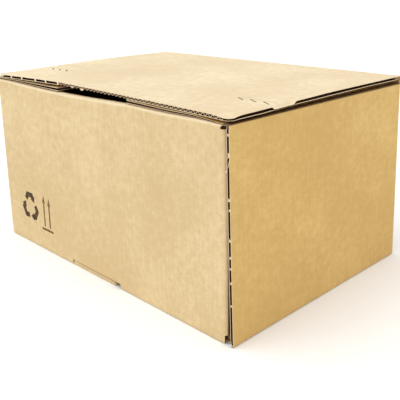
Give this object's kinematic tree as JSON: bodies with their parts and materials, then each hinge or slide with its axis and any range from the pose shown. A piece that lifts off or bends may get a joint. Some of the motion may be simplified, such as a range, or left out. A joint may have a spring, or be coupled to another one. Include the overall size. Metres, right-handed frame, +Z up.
{
  "type": "closed cardboard box",
  "caption": "Closed folded shipping box of brown single-wall corrugated board with a full lid panel hinged along the back, inner dust flaps and printed handling pictograms.",
  "frame": {"origin": "middle of the underside, on the surface that the box stands on", "axes": "+X to the right along the printed front wall, +Y from the front to the back, +Z up"},
  "size_m": [0.41, 0.28, 0.218],
  "materials": {
    "kraft_board": "matt kraft paper",
    "kraft_board_lid": "matt kraft paper"
  },
  "bodies": {
    "box": {"box_body": "kraft_board"},
    "lid": {"lid": "kraft_board_lid"}
  },
  "joints": [
    {"name": "lid_fold", "type": "hinge", "parent": "box", "child": "lid", "pos_m": [0, 0.14, 0.218], "axis": [-1, 0, 0], "range_deg": [0, 225]}
  ]
}
